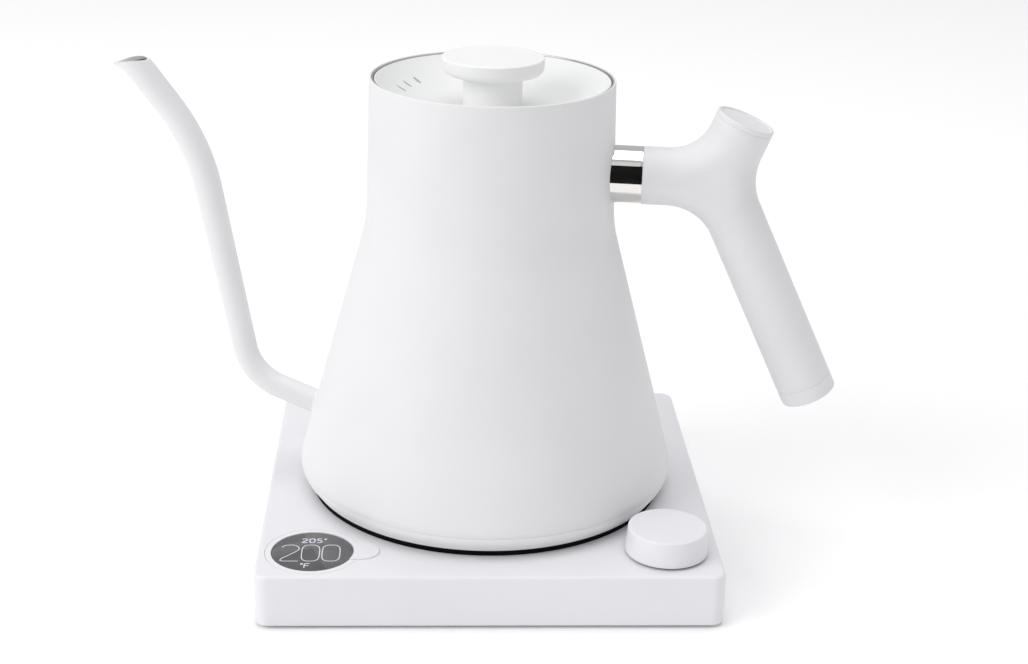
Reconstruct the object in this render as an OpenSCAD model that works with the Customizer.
// Electric gooseneck pour-over kettle on a square powered base.
// Millimetres, +Z up. The origin is on the floor under the centre of the base.
// +X is to the right as seen from the front, -Y, where the display and the dial are.

/* [Base] */
// Width of the base, left to right
base_w = 170; // [164:1:210]
// Depth of the base, front to back
base_d = 170; // [164:1:210]
// Height of the base housing, without its feet
base_h = 19.7; // [18.5:0.1:25]
// Wall of the base housing
base_wall = 2.2; // [1.6:0.1:3]
// Thickness of the base housing's top
base_top_t = 2.4; // [1.8:0.1:3]
// Radius of the base's upright corners
base_corner_r = 5; // [3:0.5:12]
// Rounding of the base's top edge
base_edge_r = 1.5; // [0.5:0.1:1.8]
// How far the rubber feet stand out below the base
foot_h = 1; // [0.5:0.1:1.5]

/* [Controls] */
// Distance of the display's and the dial's centres from the base's sides
control_inset = 20; // [20:0.5:23]
// Radius of the round display glass
display_r = 15; // [12.5:0.1:16]
// Width of the white ring round the display
bezel_w = 2.3; // [1.5:0.1:2.5]
// Width of the push button, front to back
button_w = 12.6; // [9:0.1:14]
// How far the button reaches past the display glass
button_l = 9.6; // [8:0.1:12]
// How far the button stands above the base
button_proud = 0.4; // [0.3:0.1:1]
// Travel of the button
button_travel = 0.5; // [0.3:0.1:0.6]
// Radius of the dial's top
dial_top_r = 14.5; // [12:0.1:15]
// Radius of the dial's lower edge
dial_foot_r = 15.3; // [12.5:0.1:16]
// Height of the dial
dial_h = 9.6; // [7:0.1:11]
// Travel of the dial when it is pushed
dial_travel = 0.6; // [0.3:0.1:0.7]

/* [Kettle] */
// Turn of the kettle on its base
kettle_turn = -8; // [-10:1:10]
// Height of the kettle's rim above the base
kettle_h = 162; // [140:1:200]
// Outer radius at the rim
rim_r = 45.5; // [42:0.1:52]
// Outer radius where neck and cone would meet
waist_r = 46.8; // [43:0.1:54]
// Distance of that place below the rim
neck_h = 55; // [45:1:60]
// Radius of the blend between neck and cone
waist_blend_r = 57; // [30:1:70]
// Outer radius at the foot of the cone
foot_r = 72.6; // [60:0.1:74]
// Radius of the rounded lower edge
edge_r = 7.4; // [7:0.1:8]
// Wall of the steel body
body_wall = 0.8; // [0.6:0.1:1.2]
// Height of the dark recess between the kettle and its base
recess_h = 2.2; // [1.6:0.1:3]

/* [Spout] */
// Height of the spout's root above the kettle's floor
spout_root_h = 7.4; // [6.5:0.1:12]
// Outer radius of the spout at its root
spout_root_r = 4.7; // [4:0.1:5.5]
// Outer radius of the spout at its tip
spout_tip_r = 5.15; // [4:0.1:6]
// Wall of the spout
spout_wall = 0.65; // [0.5:0.05:0.9]
// Slope of the root above the horizontal
spout_root_a = 20.8; // [15:0.1:30]
// Length of the straight root
spout_root_l = 15.1; // [12:0.1:22]
// Centre radius of the lower bend
spout_bend_r = 22; // [15:0.5:26]
// Slope of the rising tube
spout_rise_a = 79.2; // [75:0.1:83]
// Centre radius of the upper bend
spout_neck_r = 76; // [50:1:90]
// Slope of the tip
spout_tip_a = 52.7; // [45:0.1:58]
// Length of the straight tip, up to the mouth
spout_tip_l = 20.9; // [16:0.1:28]
// Height of the mouth's centre above the rim
spout_over = 0.4; // [0:0.1:10]
// Slope of the mouth, down towards the lip
mouth_a = 11.6; // [0:0.1:20]
// How far the pouring lip reaches past the tube
lip_l = 2.4; // [1:0.1:4]

/* [Handle] */
// Radius of the collar and the arm
handle_r = 10.8; // [9.5:0.1:12]
// Radius of the horn
horn_r = 11.1; // [9.5:0.1:12]
// Radius of the grip
grip_r = 10.7; // [9.5:0.1:12]
// Distance of the arm's axis below the rim
arm_drop = 34.7; // [28:0.1:38]
// Distance from the kettle's axis to the joint of arm, horn and grip
arm_reach = 84.9; // [80:0.1:100]
// Distance from the kettle's axis to the end of the chrome collar
collar_end = 56.9; // [53:0.1:62]
// Length of the horn with its cap
horn_l = 24.6; // [22:0.1:32]
// Lean of the horn away from the kettle
horn_lean = 21; // [10:0.5:30]
// Length of the grip without its end cap
grip_l = 87; // [70:1:100]
// Slope of the grip below the horizontal
grip_a = 64.5; // [58:0.5:75]
// Length of the end cap
end_cap_l = 6.1; // [4:0.1:9]
// Radius of the stud that carries the handle
stud_r = 5; // [4:0.1:6]

/* [Lid] */
// Gap between the lid and the kettle's steel collar
lid_gap = 0.35; // [0.3:0.05:0.5]
// Depth of the lid in the neck
lid_h = 16; // [15:0.1:22]
// Depth of the lid's dish
dish_depth = 11.8; // [8:0.1:13]
// Height of the knob's top above the rim
knob_over = 7.6; // [5:0.1:15]
// Radius of the knob's disc
knob_r = 19; // [15:0.1:22]
// Thickness of the knob's disc
knob_t = 6.2; // [4.5:0.1:8]
// Radius of the knob's stem
stem_r = 11; // [8:0.1:12.5]
// Direction of the middle steam slot
vent_az = 156; // [0:1:360]

/* [Hidden] */

$fn = 96;
white = [0.93, 0.93, 0.94];
black = [0.08, 0.08, 0.09];
steel = [0.72, 0.72, 0.73];
brass = [0.8, 0.65, 0.3];
green = [0.1, 0.35, 0.2];

fit_gap = 0.05;      // radial gap of a running fit
move_gap = 0.3;      // gap between solids of different bodies
cut = 1;             // how far a cutter runs past a face
screw_head_h = 1.3;
arc_steps = 10;

// Levels of the base
plate_t = 2;
plate_top = foot_h + plate_t;
base_top = foot_h + base_h;
ceiling = base_top - base_top_t;
board_t = 1.6;
board_z = plate_top + 5;   // underside of the control board
power_z = plate_top + 2.5; // underside of the power board
board_post_r = 2.5;

// Plan of the base
boss_r = 3.6;
boss_x = base_w / 2 - base_wall - boss_r - 1.2;
boss_y = base_d / 2 - base_wall - boss_r - 1.2;
base_screw_r = 1.4;
base_head_r = 2.8;
base_screw_l = 9;
head_pocket_r = 3;
roof_cover = 2;        // plastic left above a blind screw hole
plate_gap = 0.3;
rubber_r = 6;
rubber_inset = 19;
rubber_sink = 1;
control_x = base_w / 2 - control_inset;
control_y = -(base_d / 2 - control_inset);
bezel_r = display_r + bezel_w;
bezel_lip = 1.1;
lens_t = 1.5;
lens_sink = 0.3;
button_gap = 0.25;
button_flange_t = 1; // lip that keeps the button in the housing
button_skirt = 1.3;  // how far the button reaches below the housing's top

// Circuit boards, what stands on them, and their posts
board_w = base_w - 2 * (base_wall + 11);
board_d = 31;
board_y = control_y - 1;
board_post_x = board_w / 2 - 20;
board_post_y = 10;
power_w = 116;
power_d = 36;
power_y = base_d / 2 - base_wall - power_d / 2 - 15.5;
power_post_x = power_w / 2 - 5;
power_post_y = 12;
relay_x = 32;
relay_size = [20, 15, 10];
transformer_x = -28;
transformer_size = [26, 22, 10.5];
buzzer_r = 6;
buzzer_hole_r = 1.2;
buzzer_h = 5.5;
board_top = board_z + board_t;
power_top = power_z + board_t;

// Switch below the push button, and the button's plunger
switch_x = display_r + button_l / 2 + 1;
switch_w = 6;
switch_h = 3.5;
switch_tip_r = 1.7;
switch_tip_h = 4.7;
plunger_r = 2;
plunger_z = board_top + 5.5;

// Encoder of the dial: a square can on the control board, a bushing, a rotor and a shaft
can_w = 12;
can_h = 6;
can_wall = 1;
bushing_r = 4.5;
bushing_hole_r = 5;
bushing_top = base_top - 1.2;
rotor_r = 4.8;
shaft_r = 3;
shaft_z = board_top + dial_travel + 0.2;
dial_z = base_top + dial_travel + move_gap;
dial_roof_t = 3;
dial_chamfer = 0.6;

// Gland for the power cord, in the rear wall
cord_r = 3.5;
cord_gap = 0.1;
gland_r = 5.6;
gland_flange_r = 6.8;
gland_flange_t = 1.2;
gland_l = 12;
gland_z = (plate_top + ceiling) / 2;

// Connector between base and kettle
tower_r = 19.5;
tower_h = 10.3;
tower_top = base_top + tower_h;
flange_r = 27;
flange_t = 2;
flange_z = ceiling - 6;
connector_screw_ring = 23.4;
connector_screw_r = 1.2;
connector_head_r = 2.4;
connector_screw_l = 6;
connector_boss_r = 3;
roof_bite = 0.8;       // how far the connector's screws enter the housing's top
groove_depth = 10;
outer_groove = [12.4, 15.6];
inner_groove = [6, 9.2];
pin_hole_r = 2.8;
blade_z = tower_top - groove_depth + 1; // lower end of the socket's blades
contact_t = 0.5;
contact_sink = 1.5;
socket_wall_r = [20, 22];
socket_flange_r = 24.6;
socket_t = 2.3;
socket_lift = 1.3;
collar_wall = 2.2;
collar_top = tower_top + 2;
socket_top = collar_top + socket_t;

// Floor of the kettle, stacked on the connector
clamp_t = 1.2;
clamp_gap = 0.1;
heater_gap = 0.6;
heater_t = 3;
floor_t = 0.8;
clamp_z = socket_top + clamp_gap;
heater_z = clamp_z + clamp_t + heater_gap;
floor_top = heater_z + heater_t + floor_t;
clamp_ring = 28.6;
clamp_post_r = 2.8;
clamp_screw_r = 1;
clamp_head_r = 2;
clamp_head_z = 0.6;
clamp_screw_l = 5;
clamp_bore_r = 17;
heater_r = 54;
element_ring = 43;
element_r = 3.5;
element_z = heater_z - element_r * 0.8;
element_leg_r = 1.5;
element_leg_h = 3;
element_open_a = 50;   // gap between the two ends of the heating element
cover_t = 2;
cover_screw_r = 1.3;
cover_boss_r = 4;
cover_boss_top = element_z - element_r - move_gap; // the bosses end below the element
cover_head_r = 2.6;
cover_head_z = 0.9;
cover_screw_l = 6;
ring_land = 2.5;       // width of the foot ring's underside
sensor_ring = 24;
sensor_r = 3;
seal_w = 1.4;
seal_flange_w = 1.2;
seal_flange_t = 1.5;
sensor_h = 7;
sensor_az = 90;
cutout_az = 210;
cutout_size = [6.4, 12, 7];

// Outline of the kettle's body, from the rim down
rest_gap = 0.1;
foot_z = base_top + recess_h;
rim_z = base_top + kettle_h;
waist_z = rim_z - neck_h;
cone_z = base_top + 11.8;
seam_z = base_top + 8.8;
seam_gap = 0.25;
heel_a = 36;
neck_slope = (waist_r - rim_r) / (rim_z - waist_z);
cone_slope = (foot_r - waist_r) / (waist_z - cone_z);
neck_a = atan(neck_slope);
cone_a = atan(cone_slope);
blend_t = waist_blend_r * tan((cone_a - neck_a) / 2);
blend_c = [
    waist_r - blend_t * sin(neck_a) + waist_blend_r * cos(neck_a),
    waist_z + blend_t * cos(neck_a) + waist_blend_r * sin(neck_a)
];
edge_c = [foot_r - edge_r * cos(cone_a), cone_z - edge_r * sin(cone_a)];
function edge_angle(z) = asin((z - edge_c.y) / edge_r);
function polar(c, r, a) = c + r * [cos(a), sin(a)];
function arc(c, r, a0, a1) =
    [for (i = [0:arc_steps]) polar(c, r, a0 + (a1 - a0) * i / arc_steps)];
function inward(points, d) = [for (p = points) [p.x - d, p.y]];
function reversed(points) = [for (i = [len(points) - 1:-1:0]) points[i]];
body_outline = concat(
    [[rim_r, rim_z]],
    arc(blend_c, -waist_blend_r, neck_a, cone_a),
    arc(edge_c, edge_r, cone_a, edge_angle(seam_z + seam_gap))
);
heel = polar(edge_c, edge_r, -heel_a);
heel_r = heel.x - (heel.y - foot_z) * tan(heel_a);
cover_screw_ring = heel_r - 7.5;
ring_outline = concat(arc(edge_c, edge_r, edge_angle(seam_z), -heel_a), [[heel_r, foot_z]]);
function neck_r(z) = rim_r + neck_slope * (rim_z - z);
function cone_r(z) = foot_r - cone_slope * (z - cone_z);

// Route of the spout in its own upright plane: x runs outwards, y upwards
root_p = [cone_r(floor_top + spout_root_h), floor_top + spout_root_h];
mouth_z = rim_z + spout_over;
bend_p = polar(root_p, spout_root_l, spout_root_a);
bend_c = polar(bend_p, spout_bend_r, spout_root_a + 90);
rise_p = polar(bend_c, spout_bend_r, spout_rise_a - 90);
neck_rise = spout_neck_r * (cos(spout_tip_a) - cos(spout_rise_a));
rise_l = (mouth_z - spout_tip_l * sin(spout_tip_a) - neck_rise - rise_p.y) / sin(spout_rise_a);
neck_p = polar(rise_p, rise_l, spout_rise_a);
neck_c = polar(neck_p, spout_neck_r, spout_rise_a - 90);
tip_p = polar(neck_c, spout_neck_r, spout_tip_a + 90);
mouth_p = polar(tip_p, spout_tip_l, spout_tip_a);
mouth_half = spout_tip_r / sin(spout_tip_a + mouth_a);
root_back = 6;         // how far the tube is drawn back into the body
root_dir = [cos(spout_root_a), sin(spout_root_a)];
tip_dir = [cos(spout_tip_a), sin(spout_tip_a)];
lip_drop = 2.8;
lap = 0.3;
lap_step = 0.03;
mouth_cut = 40;

// Handle, in an upright plane as well
arm_z = rim_z - arm_drop;
arm_p = [arm_reach, arm_z];
horn_a = 90 - horn_lean;
horn_cap_t = 2;
horn_well_r = 7.6;
horn_well_l = 7;
screw_well_r = 4.7;
screw_well_l = 4.6;
well_bottom = horn_l - horn_cap_t - horn_well_l;
handle_head_t = 3.2;
horn_plug_l = 4;
handle_screw_r = 2;
stud_end = arm_reach + stud_r + 0.5;
arm_back = 4;          // how far collar and stud are drawn back into the body
upper_fillet_r = 16;
lower_fillet_r = 19;
notch_fillet_r = 22;
web_w = 13;
web_sink = 0.25;
elbow = 6;
weight_r = 7.5;
weight_l = 42;
cap_plug_l = 7;
cap_edge_r = 1;

// Lid
collar_t = 0.6;
lid_r = rim_r - body_wall - collar_t - lid_gap;
lid_top = rim_z - 0.6;
lid_bottom = lid_top - lid_h;
lid_wall = 1.6;
lid_lip = 0.5;
dish_t = 2;
dish_z = lid_top - dish_depth;
dish_run = lid_r - lid_lip - stem_r;
dish_r = (dish_run * dish_run + dish_depth * dish_depth) / (2 * dish_depth);
hub_r = 6;
lid_plate_t = 0.8;
lid_plate_z = lid_bottom;
seal_z = lid_bottom + 1.2;
seal_h = 2.4;
seal_sink = 1;
seal_proud = 0.25;
knob_top = rim_z + knob_over;
knob_edge_r = 3;
lid_screw_r = 2;
lid_screw_l = 12;
seat_t = 0.8;
seat_w = 2.4;
vent_r = 34.6;
vent_l = 3.8;
vent_w = 1.4;
vent_step = 12;

// ---- helpers ----

module post(r, z0, z1) {
    translate([0, 0, z0]) cylinder(r = r, h = z1 - z0);
}

module tube(r_out, r_in, z0, z1) {
    difference() {
        post(r_out, z0, z1);
        post(r_in, z0 - cut, z1 + cut);
    }
}

module slab(w, d, z0, z1) {
    translate([-w / 2, -d / 2, z0]) cube([w, d, z1 - z0]);
}

module rounded_rect(w, d, r) {
    square([w - 2 * r, d], center = true);
    square([w, d - 2 * r], center = true);
    for (x = [-1, 1], y = [-1, 1])
        translate([x * (w / 2 - r), y * (d / 2 - r)]) circle(r);
}

// Cross-section of the base with rounded top edges
module loaf(w) {
    translate([-w / 2, foot_h]) square([w, base_h - base_edge_r]);
    translate([base_edge_r - w / 2, foot_h]) square([w - 2 * base_edge_r, base_h]);
    for (x = [-1, 1])
        translate([x * (w / 2 - base_edge_r), base_top - base_edge_r]) circle(base_edge_r);
}

// A screw with its head below z = 0 and its shank above, driven from below
module screw(head_r, shank_r, length) {
    drive_r = head_r * 0.5;
    difference() {
        union() {
            post(head_r, -screw_head_h, 0);
            post(shank_r, -0.1, length);
        }
        translate([0, 0, -screw_head_h - cut]) cylinder(r = drive_r, h = cut + 0.8, $fn = 6);
    }
}

module at_corners(x, y) {
    for (i = [-1, 1], j = [-1, 1]) translate([i * x, j * y, 0]) children();
}

module around(count, radius, start = 0) {
    for (i = [0:count - 1]) rotate([0, 0, start + i * 360 / count])
        translate([radius, 0, 0]) children();
}

module turned() {
    rotate([0, 0, kettle_turn]) children();
}

// Puts a shape drawn in x and y upright, with x outwards and y upwards
module upright() {
    rotate([90, 0, 0]) children();
}

// A round bar from point p in direction a, for use inside upright()
module bar(p, a, length, r1, r2) {
    translate([p.x, p.y, 0]) rotate([0, 0, a]) rotate([0, 90, 0])
        cylinder(r1 = r1, r2 = r2, h = length);
}

module at_display() {
    translate([-control_x, control_y, 0]) children();
}

// Where the temperature sensor passes through the kettle's floor
module at_sensor() {
    rotate([0, 0, sensor_az]) translate([sensor_ring, 0, 0]) children();
}

module at_dial() {
    translate([control_x, control_y, 0]) children();
}

// Outline of the push button, grown by gap on all sides
module button_shape(gap) {
    r = button_w / 2 + gap;
    start_x = display_r + gap - button_gap;
    difference() {
        union() {
            translate([0, -r]) square([display_r + button_l - button_w / 2, 2 * r]);
            translate([display_r + button_l - button_w / 2, 0]) circle(r);
        }
        circle(display_r + 2 * button_gap - gap);
    }
}

// The solid that the body's outer surface encloses
module body_mass() {
    rotate_extrude() polygon(concat([[0, rim_z]], body_outline, [[0, seam_z + seam_gap]]));
}

// ---- base ----

module base_housing() color(white) {
    difference() {
        intersection() {
            linear_extrude(base_top + cut) rounded_rect(base_w, base_d, base_corner_r);
            translate([0, base_d / 2 + cut, 0]) rotate([90, 0, 0])
                linear_extrude(base_d + 2 * cut) loaf(base_w);
            translate([-base_w / 2 - cut, 0, 0]) rotate([90, 0, 90])
                linear_extrude(base_w + 2 * cut) loaf(base_d);
        }
        difference() {
            linear_extrude(ceiling)
                rounded_rect(base_w - 2 * base_wall, base_d - 2 * base_wall, base_corner_r - base_wall);
            at_corners(boss_x, boss_y) post(boss_r, plate_top, base_top);
            around(3, connector_screw_ring, 90) post(connector_boss_r, flange_z + flange_t, base_top);
        }
        at_corners(boss_x, boss_y) post(base_screw_r, 0, ceiling - roof_cover);
        around(3, connector_screw_ring, 90) post(connector_screw_r, flange_z, ceiling + roof_bite);
        post(tower_r + 2 * fit_gap, 0, base_top + cut);
        at_display() {
            post(bezel_r, ceiling, base_top + cut);
            translate([0, 0, ceiling]) linear_extrude(base_top_t + cut) button_shape(button_gap);
        }
        at_dial() post(bushing_hole_r, ceiling, base_top + cut);
        translate([0, 0, gland_z]) rotate([-90, 0, 0]) post(gland_r, 0, base_d);
    }
}

module base_plate() color(black) {
    difference() {
        linear_extrude(plate_top) rounded_rect(
            base_w - 2 * (base_wall + plate_gap), base_d - 2 * (base_wall + plate_gap),
            base_corner_r - base_wall);
        linear_extrude(foot_h) square([base_w, base_d], center = true);
        at_corners(base_w / 2 - rubber_inset, base_d / 2 - rubber_inset)
            post(rubber_r, 0, foot_h + rubber_sink);
        at_corners(boss_x, boss_y) {
            post(head_pocket_r, 0, foot_h + screw_head_h);
            post(base_screw_r, 0, plate_top + cut);
        }
    }
    at_corners(board_post_x, board_post_y)
        translate([0, board_y, 0]) post(board_post_r, plate_top, board_z);
    at_corners(power_post_x, power_post_y)
        translate([0, power_y, 0]) post(board_post_r, plate_top, power_z);
}

module rubber_feet() color([0.2, 0.2, 0.2])
    at_corners(base_w / 2 - rubber_inset, base_d / 2 - rubber_inset)
        post(rubber_r, 0, foot_h + rubber_sink);

module base_screws() color(steel)
    at_corners(boss_x, boss_y) translate([0, 0, foot_h + screw_head_h])
        screw(base_head_r, base_screw_r, base_screw_l);

module connector_base() color(black) {
    difference() {
        union() {
            post(flange_r, flange_z, flange_z + flange_t);
            post(tower_r, flange_z, tower_top);
        }
        for (groove = [outer_groove, inner_groove])
            tube(groove[1], groove[0], tower_top - groove_depth, tower_top + cut);
        post(pin_hole_r, tower_top - groove_depth, tower_top + cut);
        around(3, connector_screw_ring, 90)
            post(connector_screw_r, flange_z - cut, flange_z + flange_t + cut);
    }
}

module base_contacts() color(brass) {
    for (groove = [outer_groove, inner_groove])
        tube(groove[1], groove[1] - contact_t, tower_top - groove_depth, tower_top - contact_sink);
    tube(pin_hole_r, pin_hole_r - contact_t, tower_top - groove_depth, tower_top - contact_sink);
}

module connector_screws() color(steel)
    around(3, connector_screw_ring, 90) translate([0, 0, flange_z])
        screw(connector_head_r, connector_screw_r, connector_screw_l);

module display_bezel() color(white)
    at_display() difference() {
        tube(bezel_r, display_r - bezel_lip, ceiling, base_top);
        post(display_r, base_top - lens_sink - lens_t, base_top + cut);
        translate([0, 0, ceiling - cut]) linear_extrude(base_h) button_shape(button_gap);
    }

module display_lens() color(black)
    at_display() post(display_r, base_top - lens_sink - lens_t, base_top - lens_sink);

module display_module() color([0.3, 0.3, 0.32])
    at_display() post(display_r - bezel_lip, board_top, base_top - lens_sink - lens_t);

module mode_button() color(white)
    at_display() {
        skirt_z = ceiling - button_skirt;
        translate([0, 0, skirt_z])
            linear_extrude(base_top + button_proud - skirt_z) button_shape(0);
        translate([switch_x, 0, 0]) post(plunger_r, plunger_z, skirt_z + 0.1);
        intersection() {
            translate([0, 0, skirt_z]) linear_extrude(button_flange_t) button_shape(button_flange_t);
            translate([bezel_r + 1.2, -button_w, skirt_z - cut])
                cube([button_w, 2 * button_w, button_flange_t + 2 * cut]);
        }
    }

module button_switch() color([0.25, 0.25, 0.25])
    at_display() translate([switch_x, 0, 0]) {
        slab(switch_w, switch_w, board_top, board_top + switch_h);
        post(switch_tip_r, board_top + switch_h - 0.1, board_top + switch_tip_h);
    }

module encoder_body() color(steel)
    at_dial() difference() {
        union() {
            slab(can_w, can_w, board_top, board_top + can_h);
            post(bushing_r, board_top, bushing_top);
        }
        post(rotor_r + move_gap, board_top + can_wall, board_top + can_h - can_wall);
        post(shaft_r + fit_gap, board_z, bushing_top + cut);
    }

module encoder_rotor() color(brass)
    at_dial() tube(rotor_r, shaft_r + fit_gap, board_top + can_wall + move_gap,
        board_top + can_h - can_wall - move_gap);

module encoder_shaft() color(steel)
    at_dial() post(shaft_r, shaft_z, dial_z + dial_h - dial_roof_t);

module dial_knob() color(white)
    at_dial() difference() {
        union() {
            translate([0, 0, dial_z])
                cylinder(r1 = dial_foot_r, r2 = dial_top_r, h = dial_h - dial_chamfer);
            translate([0, 0, dial_z + dial_h - dial_chamfer])
                cylinder(r1 = dial_top_r, r2 = dial_top_r - dial_chamfer, h = dial_chamfer);
        }
        post(shaft_r, dial_z - cut, dial_z + dial_h - dial_roof_t);
    }

module mounting_board(w, d, z) {
    color(green) translate([0, 0, z]) linear_extrude(board_t) square([w, d], center = true);
}

module control_board()
    translate([0, board_y, 0]) mounting_board(board_w, board_d, board_z);

module power_board()
    translate([0, power_y, 0]) mounting_board(power_w, power_d, power_z);

module relay() color([0.1, 0.2, 0.5])
    translate([relay_x, power_y, 0])
        slab(relay_size.x, relay_size.y, power_top, power_top + relay_size.z);

module transformer() color([0.75, 0.7, 0.2])
    translate([transformer_x, power_y, 0])
        slab(transformer_size.x, transformer_size.y, power_top, power_top + transformer_size.z);

module buzzer() color(black)
    translate([0, board_y, 0]) tube(buzzer_r, buzzer_hole_r, board_top, board_top + buzzer_h);

module cord_gland() color(black)
    translate([0, base_d / 2, gland_z]) rotate([-90, 0, 0]) difference() {
        union() {
            post(gland_r, -gland_l, gland_flange_t);
            post(gland_flange_r, 0, gland_flange_t);
            post(gland_flange_r, -base_wall - gland_flange_t, -base_wall);
        }
        post(cord_r + cord_gap, -gland_l - cut, gland_flange_t + cut);
    }

// ---- coupler: the round socket that lifts off the base with the kettle ----

module coupler_socket() color([0.15, 0.15, 0.16]) {
    tube(socket_wall_r[1], socket_wall_r[0], foot_z + socket_lift, collar_top);
    post(socket_flange_r, collar_top, socket_top);
    post(socket_wall_r[1], tower_top + move_gap, collar_top + 0.1);
    for (groove = [outer_groove, inner_groove])
        tube(groove[1] - 2 * contact_t - 2 * move_gap, groove[0] + move_gap,
            blade_z, tower_top + 2 * move_gap);
}

module socket_contacts() color(brass) {
    for (groove = [outer_groove, inner_groove])
        tube(groove[1] - contact_t - 2 * move_gap, groove[1] - 2 * contact_t - 2 * move_gap,
            blade_z, tower_top + move_gap);
    post(pin_hole_r - contact_t - move_gap, blade_z, tower_top + move_gap);
}

// ---- kettle ----

module kettle_body() color(white) turned() difference() {
    rotate_extrude() polygon(concat(body_outline, reversed(inward(body_outline, body_wall))));
    rotate([0, 0, 180]) upright()
        bar(root_p - root_back * root_dir, spout_root_a, 2 * root_back,
            spout_root_r - spout_wall, spout_root_r - spout_wall);
}

module rim_collar() color(steel) turned() {
    top = rim_z - 0.3;
    seat = lid_bottom - 0.2;
    outer = [[neck_r(top) - body_wall, top], [neck_r(seat) - body_wall, seat - seat_t]];
    rotate_extrude() polygon(concat(
        outer,
        [[outer[1].x - collar_t - seat_w, seat - seat_t], [outer[1].x - collar_t - seat_w, seat]],
        [[neck_r(seat) - body_wall - collar_t, seat], [neck_r(top) - body_wall - collar_t, top]]
    ));
}

// A length of straight or bent spout tube, inside upright(). A straight length laps into the
// bends beside it, whose wall is a trace thinner.
module straight_tube(p, a, length, r1, r2) {
    translate([p.x, p.y, 0]) rotate([0, 0, a]) rotate([0, 90, 0]) rotate_extrude() polygon([
        [r1 - spout_wall, -lap], [r1, -lap],
        [r2, length + lap], [r2 - spout_wall, length + lap]]);
}

module bent_tube(c, a0, a1, r, tube_r) {
    translate([c.x, c.y, 0]) rotate([0, 0, a0]) rotate_extrude(angle = a1 - a0)
        translate([r, 0]) difference() {
            circle(tube_r - lap_step);
            circle(tube_r - spout_wall + lap_step);
        }
}

// The beak below the mouth: a side view and a plan, both extruded
module lip() {
    reach = mouth_half + lip_l;
    across = 2 * spout_tip_r;
    translate([mouth_p.x, mouth_p.y, 0]) rotate([0, 0, -mouth_a]) intersection() {
        translate([0, 0, -across / 2]) linear_extrude(across) polygon([
            [0, 0], [reach, 0], [mouth_half - 1.6, -lip_drop], [0, -lip_drop]]);
        rotate([90, 0, 0]) translate([0, 0, -cut]) linear_extrude(lip_drop + 2 * cut) polygon([
            [0, -spout_tip_r + 0.3], [mouth_half - 1, -spout_tip_r + 2], [reach, 0],
            [mouth_half - 1, spout_tip_r - 2], [0, spout_tip_r - 0.3]]);
    }
}

module spout() color(white) turned() rotate([0, 0, 180]) {
    difference() {
        upright() straight_tube(root_p - root_back * root_dir, spout_root_a, spout_root_l + root_back,
            spout_root_r, spout_root_r);
        body_mass();
    }
    upright() {
        bent_tube(bend_c, spout_root_a - 90, spout_rise_a - 90, spout_bend_r, spout_root_r);
        straight_tube(rise_p, spout_rise_a, rise_l, spout_root_r, spout_tip_r);
        bent_tube(neck_c, spout_tip_a + 90, spout_rise_a + 90, spout_neck_r, spout_tip_r);
        difference() {
            union() {
                bar(tip_p - lap * tip_dir, spout_tip_a, spout_tip_l + 8, spout_tip_r, spout_tip_r);
                lip();
            }
            bar(tip_p - cut * tip_dir, spout_tip_a, spout_tip_l + 12,
                spout_tip_r - spout_wall, spout_tip_r - spout_wall);
            translate([mouth_p.x, mouth_p.y, 0]) rotate([0, 0, -mouth_a])
                translate([-mouth_cut / 2, 0, -mouth_cut / 2]) cube(mouth_cut);
        }
    }
}

module kettle_floor() color(steel) turned() difference() {
    z0 = floor_top - floor_t;
    rotate_extrude() polygon([[0, z0], [cone_r(z0) - body_wall, z0],
        [cone_r(floor_top) - body_wall, floor_top], [0, floor_top]]);
    at_sensor() post(sensor_r + seal_w, 0, floor_top + cut);
}

module heater_plate() color([0.8, 0.8, 0.82]) turned() difference() {
    post(heater_r, heater_z, heater_z + heater_t);
    at_sensor() post(sensor_r + seal_w, 0, floor_top + cut);
}

module heating_element() color([0.35, 0.33, 0.3]) turned() {
    intersection() {
        rotate([0, 0, element_open_a / 2]) rotate_extrude(angle = 360 - element_open_a)
            translate([element_ring, element_z]) circle(element_r);
        post(2 * element_ring, 0, heater_z);
    }
    for (side = [-1, 1]) rotate([0, 0, side * (element_open_a / 2 + 3)])
        translate([element_ring, 0, 0])
            post(element_leg_r, element_z - element_r - element_leg_h, element_z);
}

module bottom_ring() color(white) turned() {
    spigot_r = cone_r(cone_z + 2) - body_wall - 0.1;
    inner_r = heel_r - ring_land;
    difference() {
        union() {
            rotate_extrude() polygon(concat(ring_outline, [
                [inner_r, foot_z], [inner_r, foot_z + 4], [spigot_r - 1.7, seam_z],
                [spigot_r - 1.7, cone_z + 1.5], [spigot_r, cone_z + 1.5], [spigot_r, seam_z]
            ]));
            around(3, cover_screw_ring, 30) {
                post(cover_boss_r, foot_z + cover_t, cover_boss_top);
                translate([0, -2, foot_z + cover_t])
                    cube([inner_r - cover_screw_ring + 1.2, 4, 2]);
            }
        }
        around(3, cover_screw_ring, 30) post(cover_screw_r, foot_z, cover_boss_top - 0.6);
    }
}

module bottom_cover() color(black) turned() {
    inner_r = socket_wall_r[1] + fit_gap;
    foot_ring_r = heel_r - 0.4;
    difference() {
        union() {
            tube(foot_ring_r, cover_screw_ring + 4, base_top + rest_gap, foot_z);
            tube(heel_r - ring_land - 0.1, inner_r, foot_z, foot_z + cover_t);
            tube(inner_r + collar_wall, inner_r, foot_z, collar_top);
            around(3, clamp_ring, 30) post(clamp_post_r, foot_z, clamp_z);
        }
        around(3, cover_screw_ring, 30) {
            post(cover_screw_r, foot_z - cut, foot_z + cover_t + cut);
            post(cover_head_r + 0.2, base_top, foot_z + cover_head_z);
        }
        around(3, clamp_ring, 30) post(clamp_screw_r, clamp_z - clamp_screw_l - 1, clamp_z + cut);
    }
}

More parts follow.
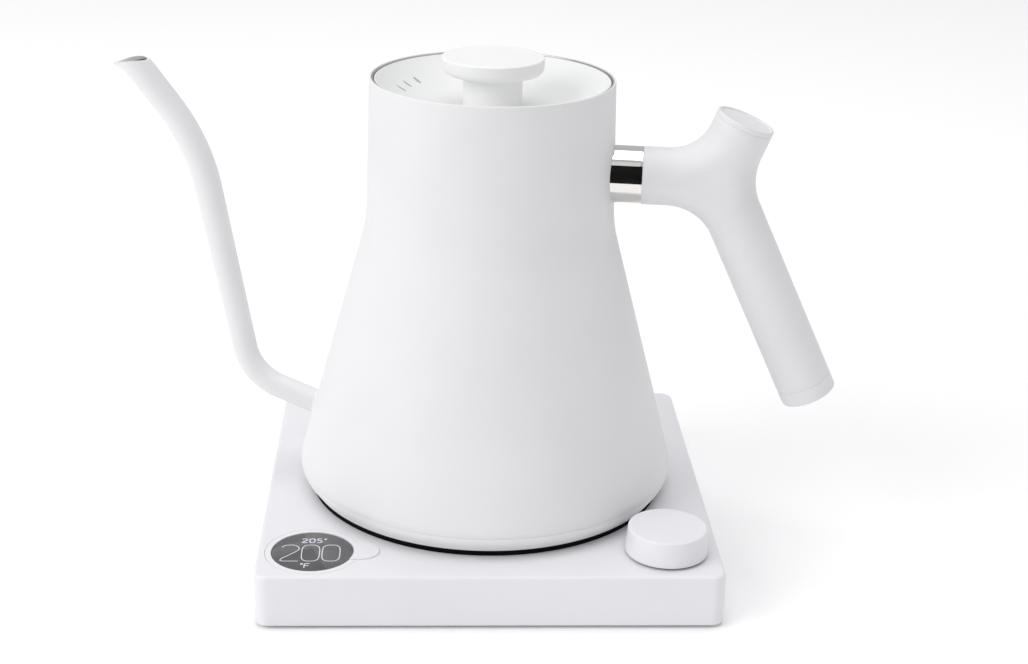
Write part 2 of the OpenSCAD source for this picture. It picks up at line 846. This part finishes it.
module bottom_screws() color(steel) turned()
    around(3, cover_screw_ring, 30) translate([0, 0, foot_z + cover_head_z])
        screw(cover_head_r, cover_screw_r, cover_screw_l);

module socket_clamp() color([0.3, 0.3, 0.3]) turned() difference() {
    tube(clamp_ring + clamp_post_r, clamp_bore_r, clamp_z, clamp_z + clamp_t);
    around(3, clamp_ring, 30) {
        post(clamp_screw_r, clamp_z - cut, clamp_z + clamp_t + cut);
        post(clamp_head_r, clamp_z + clamp_head_z, clamp_z + clamp_t + cut);
    }
}

module clamp_screws() color(steel) turned()
    around(3, clamp_ring, 30) {
        post(clamp_head_r, clamp_z + clamp_head_z, clamp_z + clamp_t + 0.3);
        post(clamp_screw_r, clamp_z - clamp_screw_l, clamp_z + clamp_head_z + 0.1);
    }

module temperature_sensor() color(steel) turned()
    at_sensor() {
        post(sensor_r, heater_z - 0.4, floor_top + sensor_h);
        translate([0, 0, floor_top + sensor_h]) sphere(sensor_r);
    }

module sensor_seal() color([0.6, 0.2, 0.15]) turned()
    at_sensor() {
        tube(sensor_r + seal_w, sensor_r, heater_z, floor_top);
        tube(sensor_r + seal_w + seal_flange_w, sensor_r, floor_top, floor_top + seal_flange_t);
    }

module thermal_cutout() color([0.85, 0.82, 0.75]) turned()
    rotate([0, 0, cutout_az]) translate([clamp_ring + clamp_post_r + 4, 0, 0])
        slab(cutout_size.x, cutout_size.y, heater_z - cutout_size.z, heater_z);

// ---- handle ----

// The corner between two straight sides that meet at p, filled up to an arc of radius r.
// The sides run from p in the directions a0 and a1, with a1 - a0 under 180.
module fillet(p, a0, a1, r) {
    half = (a1 - a0) / 2;
    side = r / tan(half);
    mid = (a0 + a1) / 2;
    translate([p.x, p.y, -web_w / 2]) linear_extrude(web_w) difference() {
        polygon([polar([0, 0], 3, mid + 180), polar([0, 0], side, a0),
            polar([0, 0], side * cos(half), mid), polar([0, 0], side, a1)]);
        translate(polar([0, 0], r / sin(half) - web_sink, mid)) circle(r);
    }
}

// The point where the line through p at angle a and the line through q at angle b meet
function crossing(p, a, q, b) =
    p + [cos(a), sin(a)] * (((q.x - p.x) * sin(b) - (q.y - p.y) * cos(b)) / sin(b - a));
function beside(p, a, d) = p + d * [cos(a), sin(a)];
upper_corner = crossing([0, arm_z + handle_r], 0, beside(arm_p, horn_a + 90, horn_r), horn_a);
lower_corner = crossing([0, arm_z - handle_r], 0, beside(arm_p, -grip_a - 90, grip_r), -grip_a);
notch_corner = crossing(beside(arm_p, horn_a - 90, horn_r), horn_a,
    beside(arm_p, 90 - grip_a, grip_r), -grip_a);

module handle_stud() color(steel) turned() difference() {
    upright() bar([rim_r - arm_back, arm_z], 0, stud_end - rim_r + arm_back, stud_r, stud_r);
    body_mass();
    upright() bar(arm_p, horn_a, 2 * stud_r, handle_screw_r, handle_screw_r);
}

module handle_collar() color(steel) turned() difference() {
    upright()
        bar([rim_r - arm_back, arm_z], 0, collar_end - rim_r + arm_back, handle_r, handle_r);
    body_mass();
    upright() bar([0, arm_z], 0, base_w, stud_r, stud_r);
}

module handle_body() color(white) turned() upright() difference() {
    union() {
        bar([collar_end, arm_z], 0, arm_reach - collar_end, handle_r, handle_r);
        bar(beside(arm_p, horn_a, -elbow), horn_a, horn_l - horn_cap_t + elbow, horn_r, horn_r);
        bar(beside(arm_p, -grip_a, -elbow), -grip_a, grip_l + elbow, grip_r, grip_r);
        fillet(upper_corner, horn_a, 180, upper_fillet_r);
        fillet(lower_corner, 180, 360 - grip_a, lower_fillet_r);
        fillet(notch_corner, -grip_a, horn_a, notch_fillet_r);
    }
    bar([collar_end - cut, arm_z], 0, stud_end - collar_end + cut, stud_r, stud_r);
    bar(beside(arm_p, horn_a, well_bottom), horn_a, base_w,
        horn_well_r, horn_well_r);
    bar(beside(arm_p, horn_a, well_bottom - screw_well_l), horn_a, base_w,
        screw_well_r, screw_well_r);
    bar(arm_p, horn_a, base_w, handle_screw_r, handle_screw_r);
    bar(beside(arm_p, -grip_a, grip_l - cap_plug_l - weight_l), -grip_a, base_w,
        weight_r, weight_r);
}

module handle_screw() color(steel) turned() upright() {
    seat = well_bottom - screw_well_l;
    bar(arm_p, horn_a, seat, handle_screw_r, handle_screw_r);
    difference() {
        bar(beside(arm_p, horn_a, seat), horn_a, handle_head_t,
            screw_well_r - 0.3, screw_well_r - 0.3);
        bar(beside(arm_p, horn_a, seat + handle_head_t / 2), horn_a, handle_head_t,
            handle_screw_r, handle_screw_r, $fn = 6);
    }
}

module horn_cap() color(white) turned() upright() difference() {
    union() {
        bar(beside(arm_p, horn_a, horn_l - horn_cap_t), horn_a, horn_cap_t, horn_r, horn_r);
        bar(beside(arm_p, horn_a, horn_l - horn_cap_t - horn_plug_l), horn_a, horn_plug_l,
            horn_well_r, horn_well_r);
    }
    bar(beside(arm_p, horn_a, horn_l - 0.4), horn_a, cut, horn_r - 1.2, horn_r - 1.2);
}

module handle_weight() color([0.45, 0.45, 0.47]) turned() upright()
    bar(beside(arm_p, -grip_a, grip_l - cap_plug_l - weight_l), -grip_a, weight_l,
        weight_r, weight_r);

module grip_end_cap() color(white) turned() upright()
    translate([arm_p.x, arm_p.y, 0]) rotate([0, 0, -grip_a]) rotate([0, 90, 0])
        rotate_extrude() polygon([
            [0, grip_l - cap_plug_l], [weight_r, grip_l - cap_plug_l], [weight_r, grip_l],
            [grip_r, grip_l], [grip_r, grip_l + end_cap_l - cap_edge_r],
            [grip_r - cap_edge_r, grip_l + end_cap_l], [0, grip_l + end_cap_l]]);

// ---- lid ----

// Half section of the lid's moulding, with the dish as an arc
module lid_section() {
    difference() {
        translate([lid_screw_r, lid_bottom]) square([lid_r - lid_screw_r, lid_h]);
        translate([0, dish_z]) square([stem_r, lid_h]);
        translate([stem_r, dish_z + dish_r]) intersection() {
            circle(dish_r);
            translate([0, -dish_r]) square([dish_run + 0.001, 2 * dish_r]);
        }
        difference() {
            translate([hub_r, lid_bottom - cut]) square([lid_r - lid_wall - hub_r, lid_h]);
            translate([0, dish_z - dish_t]) square([stem_r, lid_h]);
            translate([stem_r, dish_z + dish_r]) circle(dish_r + dish_t);
        }
        translate([0, lid_bottom - cut]) square([lid_r - lid_wall, lid_plate_t + cut]);
        translate([lid_r - seal_sink, seal_z]) square([seal_sink + cut, seal_h]);
    }
}

module vents(z0, z1) {
    for (i = [-1:1]) rotate([0, 0, vent_az + i * vent_step])
        translate([vent_r - vent_l / 2, -vent_w / 2, z0]) cube([vent_l, vent_w, z1 - z0]);
}

module lid_dish() color(white) difference() {
    rotate_extrude() lid_section();
    vents(lid_bottom - cut, lid_top + cut);
}

module lid_plate() color(steel) difference() {
    tube(lid_r - lid_wall, lid_screw_r, lid_plate_z, lid_plate_z + lid_plate_t);
    vents(lid_bottom - cut, dish_z);
}

module lid_seal() color([0.85, 0.85, 0.85])
    tube(lid_r + seal_proud - 0.1, lid_r - seal_sink, seal_z, seal_z + seal_h);

module lid_knob() color(white) difference() {
    rotate_extrude() {
        translate([0, dish_z]) square([stem_r, knob_top - knob_t - dish_z + 1]);
        translate([0, knob_top - knob_t + knob_edge_r]) square([knob_r, knob_t - knob_edge_r - 0.5]);
        translate([0, knob_top - 0.6]) square([knob_r - 0.5, 0.6]);
        translate([knob_r - 0.5, knob_top - 0.5]) circle(0.5);
        translate([0, knob_top - knob_t]) square([knob_r - knob_edge_r, knob_t - 0.5]);
        translate([knob_r - knob_edge_r, knob_top - knob_t + knob_edge_r]) circle(knob_edge_r);
    }
    post(lid_screw_r, dish_z - cut, lid_bottom + lid_screw_l + 1);
}

module lid_screw() color(steel)
    translate([0, 0, lid_bottom]) screw(4, lid_screw_r, lid_screw_l);

base_housing();
base_plate();
rubber_feet();
base_screws();
connector_base();
base_contacts();
connector_screws();
display_bezel();
display_lens();
display_module();
button_switch();
encoder_body();
control_board();
power_board();
relay();
transformer();
buzzer();
cord_gland();
mode_button();
encoder_rotor();
encoder_shaft();
dial_knob();
coupler_socket();
socket_contacts();
kettle_body();
rim_collar();
spout();
kettle_floor();
heater_plate();
heating_element();
bottom_ring();
bottom_cover();
bottom_screws();
socket_clamp();
clamp_screws();
temperature_sensor();
sensor_seal();
thermal_cutout();
handle_stud();
handle_collar();
handle_body();
handle_screw();
horn_cap();
handle_weight();
grip_end_cap();
lid_dish();
lid_plate();
lid_seal();
lid_knob();
lid_screw();
